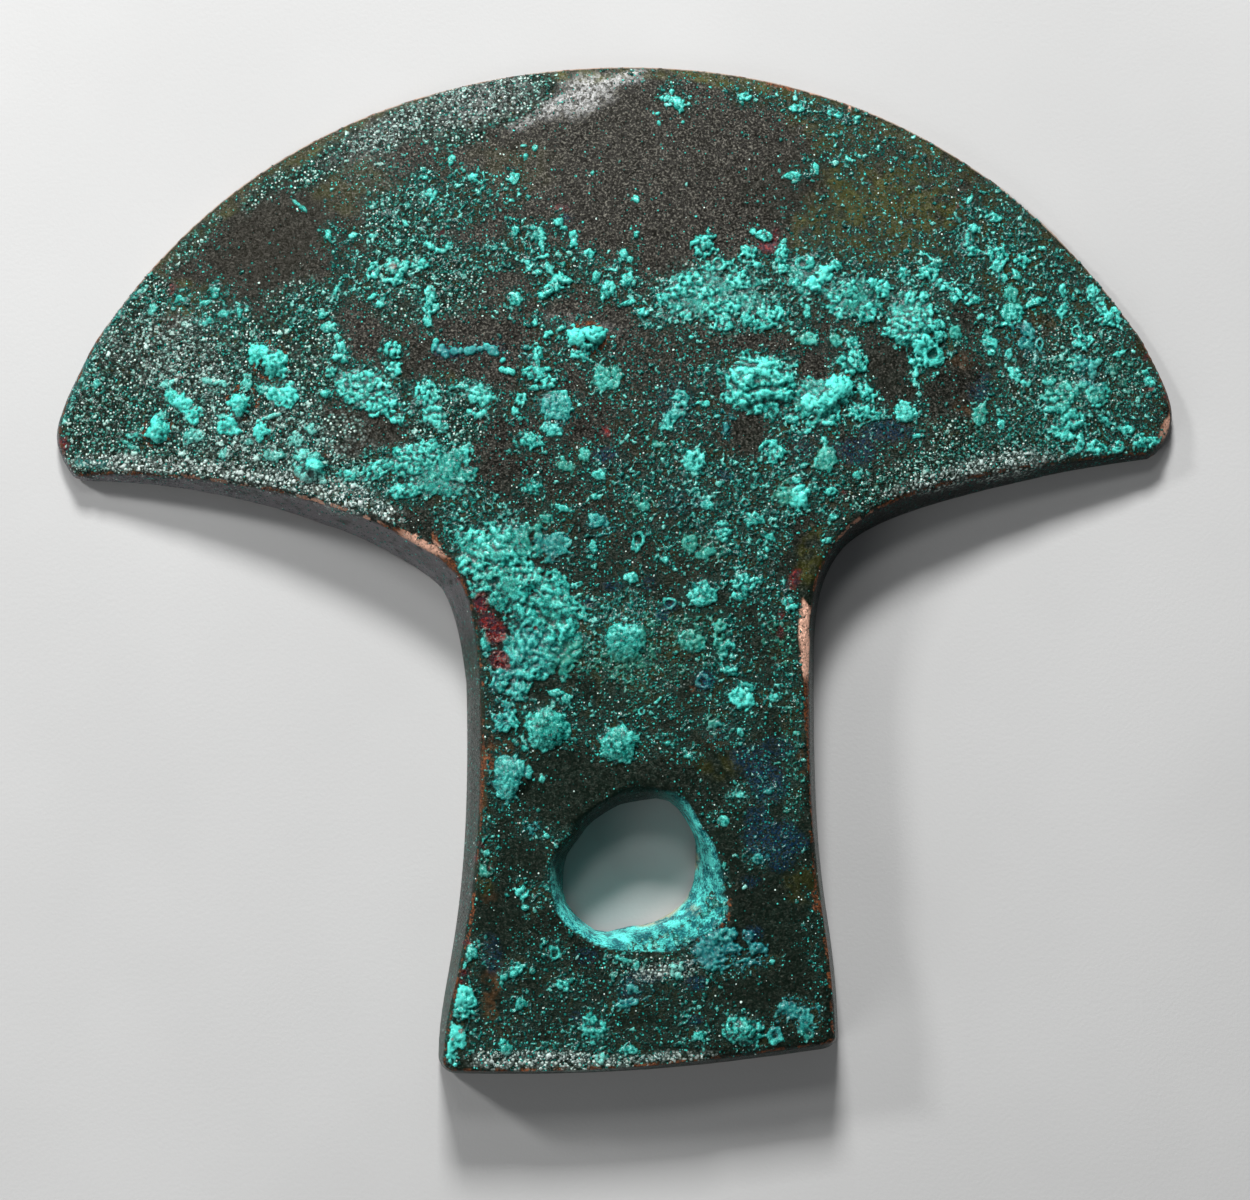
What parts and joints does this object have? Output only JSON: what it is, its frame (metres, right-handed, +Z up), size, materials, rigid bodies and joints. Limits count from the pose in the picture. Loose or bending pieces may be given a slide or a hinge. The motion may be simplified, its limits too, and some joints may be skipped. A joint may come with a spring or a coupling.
{
  "type": "axe head",
  "caption": "Crescent-bladed axe head with a waisted flat tang and a lashing hole, in corroded cast copper.",
  "frame": {"origin": "middle of the bounding box on the surface that the head lies on, under the blade's root", "axes": "+X to the right along the blade's width, +Y towards the cutting edge, +Z up through the thickness; the head lies on its flat back"},
  "size_m": [0.149, 0.1344, 0.0098],
  "materials": {
    "patinated_copper": "dark olive-brown patina with a dull metallic sheen, bare copper on worn rims and small red patches",
    "malachite_crust": "granular blue-green corrosion with a waxy glint"
  },
  "bodies": {
    "root": {"axe_head": "patinated_copper"}
  },
  "joints": []
}
